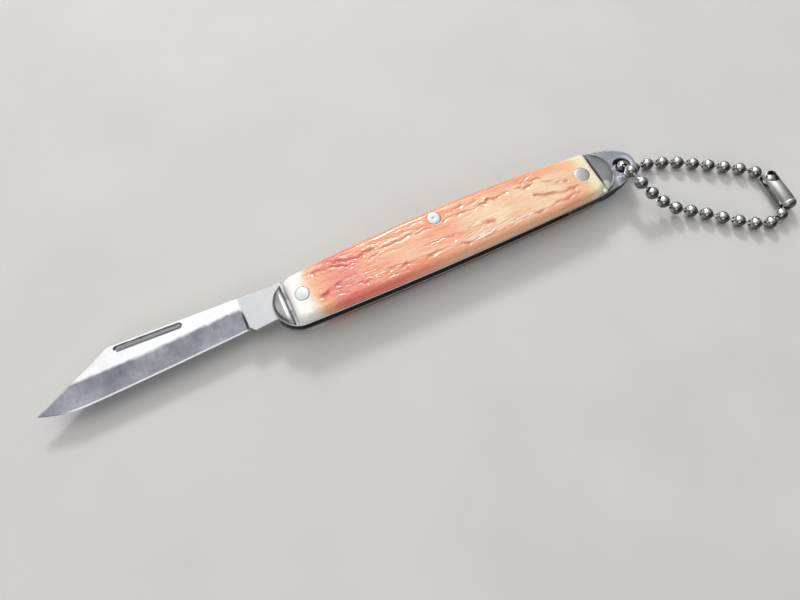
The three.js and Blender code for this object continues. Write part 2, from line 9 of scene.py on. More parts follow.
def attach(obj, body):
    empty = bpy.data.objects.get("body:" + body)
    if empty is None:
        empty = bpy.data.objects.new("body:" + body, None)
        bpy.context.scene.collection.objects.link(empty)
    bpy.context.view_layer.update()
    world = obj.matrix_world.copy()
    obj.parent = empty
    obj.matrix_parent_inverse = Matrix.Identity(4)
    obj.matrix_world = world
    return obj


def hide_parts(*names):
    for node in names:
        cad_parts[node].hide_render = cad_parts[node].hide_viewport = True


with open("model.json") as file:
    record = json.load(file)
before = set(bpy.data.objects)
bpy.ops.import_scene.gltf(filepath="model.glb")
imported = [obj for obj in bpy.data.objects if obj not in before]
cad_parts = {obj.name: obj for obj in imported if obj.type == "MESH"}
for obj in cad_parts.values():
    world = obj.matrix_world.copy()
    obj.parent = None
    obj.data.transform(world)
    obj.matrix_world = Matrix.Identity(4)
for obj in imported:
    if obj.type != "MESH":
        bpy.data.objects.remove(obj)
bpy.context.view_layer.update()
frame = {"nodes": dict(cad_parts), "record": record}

MM = 0.001
QUARTER = math.pi / 2

# Sizes in millimetres from the pivot pin's axis, as in the part's source
PIN_SPAN = 55.5
COVER_T = 1.9
LINER_T = 0.5
SPRING_T = 1.7
SIDE_CLEARANCE = 0.05
HEAD_CENTRE_X = -1.0
HEAD_A = 4.5
TAIL_CENTRE_X = PIN_SPAN + 1.5
TAIL_A = 10.4
BACK_APEX_X, BACK_APEX_Y, BACK_R = PIN_SPAN * 0.514, 5.75, 335
SLOT_APEX_X, SLOT_APEX_Y, SLOT_R = PIN_SPAN * 0.54, -5.15, 900
COVER_X0 = -2.45
COVER_X1 = PIN_SPAN + 3.0
COVER_EDGE_R = 1.4
COVER_CORNER_R = 1.1
COVER_TAIL_CORNER_R = 2.0
HEAD_WALL_X = COVER_X0 - 0.5
TAIL_WALL_X = COVER_X1 + 0.2
TAIL_BOLSTER_X, TAIL_BOLSTER_R = PIN_SPAN + 2.1, 4.9
RING = (TAIL_CENTRE_X + TAIL_A - 2.75, -0.55, 1.78)
PINS = [(0.0, 0.0), (PIN_SPAN * 0.481, 3.5), (PIN_SPAN, 0.0)]
PIN_HEADS = [1.25, 1.25, 1.43]
PIN_HOLE_R = 0.93
PIVOT_HOLE_R = 0.95
LINER_Z = COVER_T
SPRING_Z = LINER_Z + LINER_T
FRONT_LINER_Z = SPRING_Z + SPRING_T
FRONT_COVER_Z = FRONT_LINER_Z + LINER_T
KNIFE_T = FRONT_COVER_Z + COVER_T
BLADE_Z = SPRING_Z + SIDE_CLEARANCE
BLADE_T = SPRING_T - 2 * SIDE_CLEARANCE
BALL_R = 1.185
BALL_WALL = 0.15
BALL_HOLE_R = 0.535
LINK_ROD_R = 0.23
LINK_HEAD_R = 0.5

# The camera, at the photograph's angle
VIEW_FROM = [-2.66, -43.73, 99.32]
VIEW_AT = [15.56, -5.71, 0.0]
VIEW_RIGHT = (0.9018, -0.4322, 0)
FOCAL_PIXELS = 601.0
PHOTO_WIDTH = 800.0
SENSOR = 36.0


def smoothstep(a, b, x):
    t = np.clip((x - a) / (b - a), 0.0, 1.0)
    return t * t * (3 - 2 * t)


def place(points):
    """Pivot-based millimetres to the row frame in metres"""
    p = np.asarray(points, float)
    return (p - [PIN_SPAN / 2, 0, 0]) * MM


def at_x(x):
    """A place along the knife in metres of the row frame, from millimetres off the pivot"""
    return (x - PIN_SPAN / 2) * MM


def add_camera():
    data = bpy.data.cameras.new("view")
    data.sensor_fit = "HORIZONTAL"
    data.sensor_width = SENSOR
    data.lens = FOCAL_PIXELS / PHOTO_WIDTH * SENSOR
    data.clip_start = 0.005
    data.clip_end = 5.0
    cam = bpy.data.objects.new("view", data)
    bpy.context.scene.collection.objects.link(cam)
    where = Vector(place(VIEW_FROM))
    ahead = (Vector(place(VIEW_AT)) - where).normalized()
    right = Vector(VIEW_RIGHT).normalized()
    up = right.cross(ahead)
    cam.matrix_world = Matrix((
        (right.x, up.x, -ahead.x, where.x),
        (right.y, up.y, -ahead.y, where.y),
        (right.z, up.z, -ahead.z, where.z),
        (0, 0, 0, 1)))
    bpy.context.scene.camera = cam


# Mesh and curve helpers

def add_mesh(name, verts, faces, sharp_deg=32.0, scaled=False):
    mesh = bpy.data.meshes.new(name)
    points = verts if scaled else place(verts)
    mesh.from_pydata([tuple(p) for p in points], [], faces)
    mesh.validate()
    mesh.update()
    mesh.shade_smooth()
    mesh.set_sharp_from_angle(angle=math.radians(sharp_deg))
    obj = bpy.data.objects.new(name, mesh)
    bpy.context.scene.collection.objects.link(obj)
    return obj


def add_values(piece, key, values):
    """A number for each of the piece's vertices, which its material reads"""
    layer = piece.data.attributes.new(key, "FLOAT", "POINT")
    layer.data.foreach_set("value", np.asarray(values, np.float32))


def ring_faces(start, rows, n, flip=False):
    """Quads between rows of n points each, closed round, the first point's number being start"""
    faces = []
    for r in range(rows - 1):
        for i in range(n):
            a = start + r * n + i
            b = start + r * n + (i + 1) % n
            quad = (a, b, b + n, a + n)
            faces.append(quad[::-1] if flip else quad)
    return faces


def offset_loop(loop, d):
    """The closed loop moved to its left by d, with mitred corners"""
    p = np.asarray(loop, float)
    before = p - np.roll(p, 1, 0)
    after = np.roll(p, -1, 0) - p
    before /= np.linalg.norm(before, axis=1)[:, None]
    after /= np.linalg.norm(after, axis=1)[:, None]
    n1 = np.stack([-before[:, 1], before[:, 0]], 1)
    n2 = np.stack([-after[:, 1], after[:, 0]], 1)
    m = n1 + n2
    m /= np.maximum((m * m).sum(1) / 2, 0.5)[:, None]
    return p + m * d


def slab(name, outer, holes, z0, z1, bevel):
    """A flat plate with rounded edges: outer runs anticlockwise, holes clockwise"""
    steps = 3
    turns = [i * QUARTER / steps for i in range(steps + 1)]
    rings = [(z0 + bevel * (1 - math.sin(t)), bevel * (1 - math.cos(t))) for t in reversed(turns)]
    rings += [(z1 - bevel * (1 - math.sin(t)), bevel * (1 - math.cos(t))) for t in turns]
    outlines = [outer] + list(holes)
    verts, faces, tops, lows = [], [], [], []
    for loop in outlines:
        start, n = len(verts), len(loop)
        for z, inset in rings:
            verts += [(x, y, z) for x, y in offset_loop(loop, inset)]
        faces += ring_faces(start, len(rings), n)
        lows += list(range(start, start + n))
        tops += list(range(start + (len(rings) - 1) * n, start + len(rings) * n))
    for ids, flip in ((tops, False), (lows, True)):
        flat, k = [], 0
        for loop in outlines:
            flat.append([Vector(verts[ids[k + i]]).to_2d().to_3d() for i in range(len(loop))])
            k += len(loop)
        for tri in geometry.tessellate_polygon(flat):
            a, b, c = (ids[i] for i in tri)
            u = np.subtract(verts[b][:2], verts[a][:2])
            v = np.subtract(verts[c][:2], verts[a][:2])
            ccw = u[0] * v[1] - u[1] * v[0] > 0
            faces.append((a, b, c) if ccw != flip else (a, c, b))
    return add_mesh(name, verts, faces)


def arc(x, y, r, start, turn, count):
    """Points round a centre, from start and through turn in count steps"""
    angles = (start + turn * i / count for i in range(count + 1))
    return [(x + r * math.cos(t), y + r * math.sin(t)) for t in angles]


def circle(x, y, r, count=48, clockwise=False):
    turn = -1 if clockwise else 1
    angles = (turn * 2 * math.pi * i / count for i in range(count))
    return [(x + r * math.cos(t), y + r * math.sin(t)) for t in angles]


def lathe(profile, count, closed=False):
    """(radius, height) pairs turned about Z: points on the axis close it, and so can the last pair with the first"""
    verts, rows, faces = [], [], []
    for r, z in profile:
        if r < 1e-6:
            rows.append([len(verts)] * count)
            verts.append((0.0, 0.0, z))
        else:
            rows.append(list(range(len(verts), len(verts) + count)))
            verts += [(x, y, z) for x, y in circle(0, 0, r, count)]
    if closed:
        rows.append(rows[0])
    for low, high in zip(rows, rows[1:]):
        for i in range(count):
            j = (i + 1) % count
            quad = [low[i], low[j], high[j], high[i]]
            quad = [v for k, v in enumerate(quad) if v not in quad[:k]]
            if len(quad) > 2:
                faces.append(tuple(quad))
    return verts, faces


def mirrored(profile):
    """The profile's other half, below z = 0"""
    return [(r, -z) for r, z in profile]


def join(parts):
    verts, faces = [], []
    for v, f in parts:
        k = len(verts)
        verts += [tuple(p) for p in v]
        faces += [tuple(i + k for i in q) for q in f]
    return verts, faces


def catmull(points, count):
    """A centripetal Catmull-Rom curve through the points"""
    p = [np.array(q, float) for q in points]
    p = [2 * p[0] - p[1]] + p + [2 * p[-1] - p[-2]]
    out = []
    segs = len(p) - 3
    for s in range(segs):
        p0, p1, p2, p3 = p[s:s + 4]
        t0 = 0.0
        t1 = t0 + np.linalg.norm(p1 - p0) ** 0.5
        t2 = t1 + np.linalg.norm(p2 - p1) ** 0.5
        t3 = t2 + np.linalg.norm(p3 - p2) ** 0.5
        for i in range(count + (s == segs - 1)):
            t = t1 + (t2 - t1) * i / count
            a1 = (t1 - t) / (t1 - t0) * p0 + (t - t0) / (t1 - t0) * p1
            a2 = (t2 - t) / (t2 - t1) * p1 + (t - t1) / (t2 - t1) * p2
            a3 = (t3 - t) / (t3 - t2) * p2 + (t - t2) / (t3 - t2) * p3
            b1 = (t2 - t) / (t2 - t0) * a1 + (t - t0) / (t2 - t0) * a2
            b2 = (t3 - t) / (t3 - t1) * a2 + (t - t1) / (t3 - t1) * a3
            out.append(tuple((t2 - t) / (t2 - t1) * b1 + (t - t1) / (t2 - t1) * b2))
    return out


def body_of(node):
    bodies = frame["record"]["behaviour"]["bodies"]
    return next(name for name, nodes in bodies.items() if node in nodes)


def dress(piece, material, node):
    """The piece takes a finish and its slot, stands for the node and rides on the node's body"""
    piece.data.materials.append(material)
    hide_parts(node)
    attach(piece, body_of(node))


def paint(piece, material, test):
    """The faces that pass the test take another finish"""
    piece.data.materials.append(material)
    for face in piece.data.polygons:
        if test(face):
            face.material_index = len(piece.data.materials) - 1


# The handle's outline

def back_y(x):
    return BACK_APEX_Y - (x - BACK_APEX_X) ** 2 / (2 * BACK_R)


def slot_y(x):
    return SLOT_APEX_Y + (x - SLOT_APEX_X) ** 2 / (2 * SLOT_R)


def end_curve(x0, a, start, count):
    """Half an ellipse round one end, from start and anticlockwise"""
    mid, half = (back_y(x0) + slot_y(x0)) / 2, (back_y(x0) - slot_y(x0)) / 2
    angles = (start + math.pi * i / count for i in range(count + 1))
    return [(x0 + a * math.cos(t), mid + half * math.sin(t)) for t in angles]


def edge_y(x, side):
    """The handle's edge at x on the back (side 1) or the slot side (side -1)"""
    if x < HEAD_CENTRE_X:
        x0, a = HEAD_CENTRE_X, HEAD_A
    elif x > TAIL_CENTRE_X:
        x0, a = TAIL_CENTRE_X, TAIL_A
    else:
        return back_y(x) if side > 0 else slot_y(x)
    mid, half = (back_y(x0) + slot_y(x0)) / 2, (back_y(x0) - slot_y(x0)) / 2
    return mid + side * half * math.sqrt(max(0.0, 1 - ((x - x0) / a) ** 2))


def handle_outline():
    xs = list(np.linspace(HEAD_CENTRE_X, TAIL_CENTRE_X, 60)[1:-1])
    return (end_curve(HEAD_CENTRE_X, HEAD_A, QUARTER, 36)
            + [(x, slot_y(x)) for x in xs]
            + end_curve(TAIL_CENTRE_X, TAIL_A, -QUARTER, 48)
            + [(x, back_y(x)) for x in reversed(xs)])


# Covers

def cover_outline():
    r, wide = COVER_CORNER_R, COVER_TAIL_CORNER_R
    x0, x1 = COVER_X0, COVER_X1

    def corner(x, y, start, r=r):
        return arc(x, y, r, start, QUARTER, 10)

    def along(xa, xb, edge):
        return [(x, edge(x)) for x in np.linspace(xa, xb, 480)[1:-1]]

    def across(x, ya, yb):
        return [(x, ya + (yb - ya) * t) for t in np.linspace(0, 1, 60)[1:-1]]

    head_low, head_top = edge_y(x0, -1), edge_y(x0, 1)
    tail_low, tail_top = edge_y(x1, -1), edge_y(x1, 1)
    return np.array(
        corner(x0 + r, head_low + r, math.pi)
        + along(x0 + r, x1 - wide, slot_y)
        + corner(x1 - wide, tail_low + wide, -QUARTER, wide)
        + across(x1, tail_low + wide, tail_top - r)
        + corner(x1 - r, tail_top - r, 0)
        + along(x1 - r, x0 + r, back_y)
        + corner(x0 + r, head_top - r, QUARTER)
        + across(x0, head_top - r, head_low + r))


# The moulded grooves, as the photograph shows them: points (x, y), then width and depth
GROOVES = [
    ([(1.6, 3.0), (4.0, 2.8), (6.4, 2.6), (8.0, 1.8), (10.6, 1.2)], 0.35, 0.22),
    ([(6.2, 3.6), (8.2, 2.9), (10.2, 2.3), (12.4, 2.4), (14.0, 2.7)], 0.4, 0.24),
    ([(13.0, 0.9), (15.0, 1.5), (17.0, 2.0), (20.0, 2.2), (25.0, 2.1)], 0.32, 0.16),
    ([(1.4, -1.6), (3.0, -1.9), (4.8, -1.4), (6.2, -0.8), (9.4, -0.6), (9.8, -1.9), (11.2, -2.6)], 0.4, 0.26),
    ([(11.2, -2.6), (13.6, -3.0), (15.4, -2.4), (18.0, -2.7), (22.0, -2.8), (26.5, -2.6)], 0.38, 0.26),
    ([(9.6, -2.3), (11.5, -3.4), (16.0, -3.6), (17.6, -2.9), (18.4, -4.0)], 0.3, 0.16),
    ([(24.0, -1.0), (28.0, -1.2), (31.0, -1.6), (36.0, -1.5)], 0.5, 0.12),
    ([(28.0, 2.4), (31.0, 2.3), (35.0, 2.2), (37.0, 2.6)], 0.34, 0.2),
    ([(37.0, 2.6), (41.0, 2.4), (45.0, 2.2), (47.0, 1.8), (49.5, 1.0), (52.0, 0.1)], 0.38, 0.26),
    ([(45.4, -0.1), (47.6, -0.9), (49.8, -1.8), (53.6, -1.8)], 0.36, 0.22),
    ([(26.5, -2.6), (29.0, -3.3), (34.0, -3.9), (38.0, -3.3), (46.0, -3.4), (53.0, -3.0)], 0.34, 0.16),
    ([(28.0, 4.3), (31.0, 3.7), (35.0, 3.4)], 0.3, 0.14),
    ([(43.0, 3.9), (46.0, 3.1), (48.0, 2.8)], 0.28, 0.12),
]
GROOVE_DEPTH = 0.75

# The finer cracks between the grooves: noise scale along and across, seed, width and depth
CRACKS = [(0.1, 0.62, 4.4, 0.075, 0.09), (0.2, 1.15, 8.8, 0.085, 0.065), (0.5, 2.3, 1.9, 0.1, 0.045)]


def noise_at(x, y, sx, sy, seed, octaves=3):
    """Fractal noise over the cover's plan, stretched along the knife"""
    return np.array([noise.fractal((a * sx, b * sy, seed), 0.9, 2.1, octaves, noise_basis="PERLIN_ORIGINAL")
                     for a, b in zip(x, y)])


def hump(away, width):
    return np.exp(-((away / width) ** 2))


def to_groove(x, y, points):
    """The distance to a groove's middle line, and how far above or below it each place lies"""
    best = np.full_like(x, 1e9)
    side = np.zeros_like(x)
    for (ax, ay), (bx, by) in zip(points, points[1:]):
        dx, dy = bx - ax, by - ay
        t = np.clip(((x - ax) * dx + (y - ay) * dy) / (dx * dx + dy * dy), 0, 1)
        off = y - ay - t * dy
        d = np.hypot(x - ax - t * dx, off)
        side = np.where(d < best, off, side)
        best = np.minimum(best, d)
    return best, side


def wrinkles(x, y, mirror):
    """How deep the moulded grooves are at each place, and how near a groove it is"""
    if mirror:
        x, y = PIN_SPAN - x, -y
    rough_line = noise_at(x, y, 0.9, 0.5, 2.3)
    swell = noise_at(x, y, 0.35, 0.6, 7.7, 2)
    fullness = np.clip(0.6 + 1.5 * swell, 0.05, 1.0)
    wave = 0.1 * np.sin(x * 2.3 + 0.9 * np.sin(x * 0.7)) + 0.2 * rough_line + 0.12 * noise_at(x, y, 2.4, 1.8, 6.1, 2)
    depth = np.zeros_like(x)
    near = np.zeros_like(x)
    around = 0.8 * (1 - smoothstep(8.0, 15.0, x)) * smoothstep(3.5, 5.5, x)
    for points, width, deep in GROOVES:
        deep = deep * GROOVE_DEPTH
        away, side = to_groove(x, y + wave, points)
        around = np.maximum(around, hump(away, 1.1))
        bank = np.where(side > 0, width * 0.55, width * 1.15)
        depth += deep * fullness * hump(away, bank)
        depth -= 0.22 * deep * fullness * hump(away - width * 1.5, width * 0.55)
        near = np.maximum(near, hump(away, width * 1.25) * fullness)
    for sx, sy, seed, line, deep in CRACKS:
        crack = hump(noise_at(x + 0.5 * swell, y + 0.2 * rough_line, sx, sy, seed, 2), line)
        here = smoothstep(-0.12, 0.22, noise_at(x, y, 0.12, 0.4, seed + 30, 2)) * (0.2 + 0.8 * around)
        depth += deep * crack * here
        near = np.maximum(near, 0.5 * crack * here)
    depth += 0.03 * noise_at(x, y, 0.7, 1.8, 5.1)
    return depth, near


def add_cover(name, z_liner, outward, mirror):
    """Rings from the outline inwards: the foot, the wall, the rounded edge and the face with its grooves"""
    reach, crown, rise, gap = 5.1, 0.12, 0.04, 0.035
    arcs, middle = 12, 60
    loop = cover_outline()
    tx = np.clip(loop[:, 0], COVER_X0 + reach, COVER_X1 - reach)
    ty = (back_y(tx) + slot_y(tx)) / 2
    target = np.stack([tx, ty], 1)
    span = np.linalg.norm(target - loop, axis=1)
    insets = np.concatenate([
        [0, 0], COVER_EDGE_R * (1 - np.cos(np.linspace(0, QUARTER, arcs + 1)[1:])),
        np.linspace(COVER_EDGE_R, 5.2, 56)[1:]])
    base = COVER_T - crown
    verts, tints = [], []
    for i, d in enumerate(insets):
        above = i > 1
        p = loop + (target - loop) * np.minimum(d / span, 0.995)[:, None]
        x, y = p[:, 0], p[:, 1]
        z, tint = np.full(len(p), base), np.zeros_like(x)
        if i == 0:
            z = np.zeros(len(p))
        elif d < COVER_EDGE_R:
            z = np.full(len(p), base - COVER_EDGE_R + math.sqrt(COVER_EDGE_R ** 2 - (COVER_EDGE_R - d) ** 2))
        if above:
            dent, near = wrinkles(x, y, mirror)
            z = z + crown * smoothstep(0.6, 4.6, d)
            fade = min(1.0, (i - 1) / 10.0)
            ends = smoothstep(0.2, 2.6, x) * (1 - smoothstep(PIN_SPAN - 3.2, PIN_SPAN - 0.6, x))
            pins = np.ones_like(x)
            for px, py in PINS:
                pins *= smoothstep(1.45, 2.3, np.hypot(x - px, y - py))
            drop = fade * pins * dent * (0.08 + 0.92 * ends)
            z = np.minimum(z - drop, z + rise * (i < middle))
            tint = np.clip(near * fade * ends, 0, 1)
        tints.append(tint)
        for (px, py), r in zip(PINS, PIN_HEADS):
            away = np.hypot(x - px, y - py)
            rim = np.abs(away - r - gap) < 2 * gap
            turn = (r + gap) / np.maximum(away, 0.01)
            x = np.where(rim, px + (x - px) * turn, x)
            y = np.where(rim, py + (y - py) * turn, y)
            z = np.where((away < r - 0.03) & above, z - 0.4, z)
            z = np.where(rim & above, z - 0.02, z)
        z = np.minimum(z, COVER_T)
        verts.append(np.stack([x, y, z_liner + outward * z], 1))
    # The rings, then the middle seam where the last one nearly closes on itself, and the flat face on the liner
    n, count = len(loop), len(verts)
    faces = ring_faces(0, count, n, outward < 0)
    last = tuple(range((count - 1) * n, count * n))
    first = tuple(range(n))
    faces += [last, first[::-1]] if outward > 0 else [last[::-1], first]
    obj = add_mesh(name, np.concatenate(verts), faces, sharp_deg=75)
    add_values(obj, "groove", np.concatenate(tints))
    return obj


# Bolsters and liners

def head_bolster_ring(inset):
    a = HEAD_A - inset
    half = math.acos((HEAD_CENTRE_X - HEAD_WALL_X) / a)
    top, low = back_y(HEAD_CENTRE_X) - inset, slot_y(HEAD_CENTRE_X) + inset
    return [(HEAD_CENTRE_X + a * math.cos(t), (top + low) / 2 + (top - low) / 2 * math.sin(t))
            for t in np.linspace(math.pi - half, math.pi + half, 40)]


def tail_bolster_ring(inset):
    r = TAIL_BOLSTER_R - inset
    half = math.acos((TAIL_WALL_X - TAIL_BOLSTER_X) / r)
    out = []
    for t in np.linspace(-half, half, 40):
        x, y = TAIL_BOLSTER_X + r * math.cos(t), r * math.sin(t)
        out.append((x, min(edge_y(x, 1) - inset, max(edge_y(x, -1) + inset, y))))
    return out


# How a bolster rises from its outline: the way in, then the height
HEAD_RISE = [(0.15, 0.0), (0.17, 0.3), (0.28, 0.5), (0.5, 0.66), (0.9, 0.82), (1.4, 0.99), (1.9, 1.13),
             (2.15, 1.17)]
TAIL_RISE = [(0.15, 0.0), (0.19, 0.35), (0.36, 0.7), (0.7, 0.95), (1.1, 1.06), (1.6, 1.11), (2.2, 1.13)]


def dome(ring_at, rise, z_face, outward):
    rows = [(0.15, -LINER_T * 0.5)] + catmull(rise, 4)
    rings = [[(x, y, z_face + outward * up) for x, y in ring_at(inset)] for inset, up in rows]
    n = len(rings[0])
    faces = ring_faces(0, len(rings), n, outward < 0)
    last = tuple(range((len(rings) - 1) * n, len(rings) * n))
    faces.append(last if outward > 0 else last[::-1])
    return sum(rings, []), faces


def pin_holes(pins):
    return [circle(x, y, PIN_HOLE_R, 40, True) for x, y in pins] + [circle(*RING, 64, True)]


def add_liner(name, z0, outward):
    plate = slab(name, handle_outline(), pin_holes(PINS), z0, z0 + LINER_T, 0.09)
    face = z0 + LINER_T if outward > 0 else z0
    verts, faces = join([dome(head_bolster_ring, HEAD_RISE, face, outward),
                         dome(tail_bolster_ring, TAIL_RISE, face, outward)])
    return plate, add_mesh(name + "_bolsters", verts, faces, 40)


# Back spring

def add_spring():
    nose_x, nose, arm, corner = -2.6, 2.25, 1.6, 1.5
    bend_x = 15
    block = PIN_SPAN - 6
    foot = block + corner
    under = catmull([
        (nose_x + 5.2, nose), (nose_x + 8.6, (nose + arm) / 2), (9.48, arm), (PINS[1][0], arm), (block - 6, arm),
        (block - corner, arm - corner / 2), (block, arm - corner * 2), (foot, slot_y(foot))], 12)

    def back(x):
        if x < bend_x:
            return back_y(bend_x) - (BACK_APEX_X - bend_x) / BACK_R * (bend_x - x)
        return back_y(x)

    outline = ([(nose_x, nose)] + under + [(x, slot_y(x)) for x in np.linspace(foot, TAIL_CENTRE_X, 8)[1:-1]]
               + end_curve(TAIL_CENTRE_X, TAIL_A, -QUARTER, 48)
               + [(x, back(x)) for x in np.linspace(TAIL_CENTRE_X, nose_x, 60)[1:]])
    return slab("spring_piece", outline, pin_holes(PINS[1:]), SPRING_Z, SPRING_Z + SPRING_T, 0.07)


# Blade

TIP_X, TIP_Y = -46.35, -0.28
PLUNGE_X, PLUNGE_Y = -10.3, -0.95
CLIP_X = -33.0
BELLY_X, BELLY_Y = -38.5, -1.98
TAPER_X, TIP_T = -26, 0.7
TANG_X, TANG_Y = -2.7, -2.04
GRIND_W = 4.3
EDGE_HALF, BEVEL_HALF = 0.03, 0.07
NICK_X0, NICK_X1 = -32.2, -20.4
NICK_HALF = 0.66
NICK_DROP = 1.02
NICK_DEPTH = 0.36

# The blade's sections along its length: from, to and how many, with the last place left out but for the tang's
STATIONS = [(TIP_X, -45.6, 12), (-45.6, -34, 90), (-34, -11.2, 200), (-11.2, -9.3, 50), (-9.3, TANG_X, 44)]

# The lower outline behind the edge: the notch, the kick and the tang
KICK = [(PLUNGE_X, PLUNGE_Y), (-10.05, -1.0), (-9.7, -1.5), (-9.48, -1.75), (-5.58, -1.5), (-4.0, -1.66),
        (-3.1, -2.02), (TANG_X, TANG_Y)]


def spine_y(x):
    return 4.8 + 0.047 * (-2.6 - x)


def blade_back(x):
    if x >= CLIP_X:
        return spine_y(x)
    t = (CLIP_X - x) / (CLIP_X - TIP_X)
    return spine_y(CLIP_X) + (TIP_Y - spine_y(CLIP_X)) * t - 0.2 * 4 * t * (1 - t)


def blade_low(x):
    if x <= BELLY_X:
        t = (BELLY_X - x) / (BELLY_X - TIP_X)
        return BELLY_Y + (TIP_Y - BELLY_Y) * t ** 2
    if x <= PLUNGE_X:
        t = (PLUNGE_X - x) / (PLUNGE_X - BELLY_X)
        return PLUNGE_Y + (BELLY_Y - PLUNGE_Y) * (1 - (1 - t) ** 1.3)
    return float(np.interp(x, *zip(*KICK)))


def nick_depth(x, y):
    """How deep the nail nick is cut into the front, steep on its upper side and gentle on its lower one"""
    if not NICK_X0 - 0.5 < x < NICK_X1 + 0.5:
        return 0.0
    along = max(NICK_X0 + NICK_HALF - x, x - NICK_X1 + NICK_HALF, 0.0)
    up = y - spine_y(x) + NICK_DROP
    d = math.hypot(along, up) / NICK_HALF
    if d >= 1:
        return 0.0
    steep, gentle = 1 - smoothstep(0.78, 0.98, d), 1 - smoothstep(-0.1, 0.98, d)
    lean = float(smoothstep(-0.1, 0.2, up / NICK_HALF))
    return NICK_DEPTH * float(gentle + (steep - gentle) * lean)


def add_blade():
    mid, full = BLADE_Z + BLADE_T / 2, BLADE_T / 2
    xs = np.concatenate([np.linspace(*part)[:-1] for part in STATIONS[:-1]] + [np.linspace(*STATIONS[-1])])
    low_rows = np.linspace(0, 1, 5)
    grind_rows = np.linspace(0, 1, 18)[1:]
    flat_rows = np.linspace(0, 1, 56)[1:]
    back_rows = [0.35, 0.7, 0.92, 1.0]
    side_rows = len(low_rows) + len(grind_rows) + len(flat_rows)
    per = side_rows + len(back_rows)
    top, bottom = [], []
    tints = {"ground": [], "honed_highlight": [], "nick": [], "tang": []}
    for x in xs:
        edge = blade_low(x)
        back = max(blade_back(x), edge + 0.12)
        w = back - edge
        bevel, grind, chamfer = min(0.12, w * 0.3), min(GRIND_W, w * 0.97), 0.1 * min(1, w / 2)
        taper = max(0.0, (TAPER_X - x) / (TAPER_X - TIP_X))
        flat = (BLADE_T + (TIP_T - BLADE_T) * taper * taper) / 2
        half_grind = BEVEL_HALF + (flat - BEVEL_HALF) * grind / GRIND_W
        tang = float(smoothstep(PLUNGE_X - 0.55, PLUNGE_X + 0.1, x))
        y_flat = edge + grind
        rows = [(edge + bevel * t, EDGE_HALF + (BEVEL_HALF - EDGE_HALF) * t) for t in low_rows]
        rows += [(edge + bevel + (grind - bevel) * t,
                  BEVEL_HALF + (half_grind - BEVEL_HALF) * t - 0.02 * 4 * t * (1 - t)) for t in grind_rows]
        rows += [(y_flat + (back - chamfer - y_flat) * t, half_grind) for t in flat_rows]
        rows += [(back - chamfer + chamfer * t, half_grind - chamfer * (1 - math.sqrt(1 - t * t))) for t in back_rows]
        lift = 0.35 * float(1 - smoothstep(-38, -26, x))
        for k, (y, h) in enumerate(rows):
            if k < side_rows:
                near_low = min(1.0, (y - edge) / 0.08 + 0.35) if tang > 0.5 else 1.0
                h += (full * near_low - h) * tang
            nick = nick_depth(x, y)
            top.append((x, y, mid + h - nick))
            bottom.append((x, y, mid - h))
            ground = 1 - smoothstep(grind - 0.95 + lift, grind + 0.35 + lift, y - edge)
            # The edge bevel's tint: partly its sharpened finish, partly a painted highlight line that fades before
            # the tip
            honed_highlight = 0.9 * (k < len(low_rows)) * (1 - tang) * float(smoothstep(-43.5, -40.5, x))
            tints["ground"].append(float(ground) * (1 - tang))
            tints["honed_highlight"].append(honed_highlight)
            # The nail nick's tint: painted shade, darker where the cut is deeper
            tints["nick"].append(0.45 * min(1.0, nick / 0.03) + 0.55 * float(smoothstep(0.2, 0.34, nick)))
            tints["tang"].append(tang)
    n, off = len(xs), len(top)
    faces = []
    for i in range(n - 1):
        first, last = i * per, i * per + per - 1
        for a in range(first, last):
            faces.append((a, a + per, a + per + 1, a + 1))
            faces.append((off + a, off + a + 1, off + a + per + 1, off + a + per))
        faces.append((off + first, off + first + per, first + per, first))
        faces.append((last, last + per, off + last + per, off + last))
    for i, flip in ((0, False), (n - 1, True)):
        for a in range(i * per, i * per + per - 1):
            quad = (a, a + 1, off + a + 1, off + a)
            faces.append(quad[::-1] if flip else quad)
    blade = add_mesh("blade_piece", top + bottom, faces, 24)
    for key, values in tints.items():
        add_values(blade, key, values * 2)
    return blade


def add_tang():
    """The hidden end of the blade between the liners, with the pivot hole"""
    r, c = 2.2, 0.9
    front = TANG_X - 0.15
    outline = ([(front, TANG_Y + 0.01)] + arc(r - c, c - r, c, -QUARTER, QUARTER, 8)
               + arc(r - c, r - c, c, 0, QUARTER, 8) + [(front, r)])
    return slab("tang_piece", outline, [circle(0, 0, PIVOT_HOLE_R, 40, True)], BLADE_Z, BLADE_Z + BLADE_T, 0.05)


# Pins

def add_pin(name, x, y, r, dimple):
    """A pin with a low domed head at either end, its profile given from the head's top down"""
    crown = [(0.0, 0.06), (0.12, 0.052), (0.2, 0.03), (0.28, 0.012)] if dimple else [(0.0, 0.0), (0.3, 0.002)]
    head = crown + [(r * 0.6, 0.016), (r * 0.84, 0.04), (r - 0.09, 0.062), (r - 0.03, 0.09), (r, 0.15), (r, 0.45),
                    (0.9, 0.45)]
    verts, faces = lathe(head + [(r, KNIFE_T - z) for r, z in reversed(head)], 56)
    return add_mesh(name, [(a + x, b + y, c) for a, b, c in verts], faces, 38)


# Ball chain

def ball_data():
    """A thin hollow ball with rolled rims at its two holes, its bore along Z"""
    inner = BALL_R - BALL_WALL
    hole = math.asin(BALL_HOLE_R / BALL_R) + 0.1
    hole_in = math.asin(BALL_HOLE_R / inner)
    outside = [(BALL_R * math.sin(t), -BALL_R * math.cos(t)) for t in np.linspace(hole, math.pi - hole, 26)]
    inside = [(inner * math.sin(t), inner * math.cos(t)) for t in np.linspace(hole_in, math.pi - hole_in, 16)]
    mouth = math.sqrt(BALL_R ** 2 - BALL_HOLE_R ** 2)
    lip = [(BALL_HOLE_R + 0.05, mouth + 0.015), (BALL_HOLE_R + 0.005, mouth - 0.02)]
    return lathe(outside + lip + inside + mirrored(lip[::-1]), 40, closed=True)


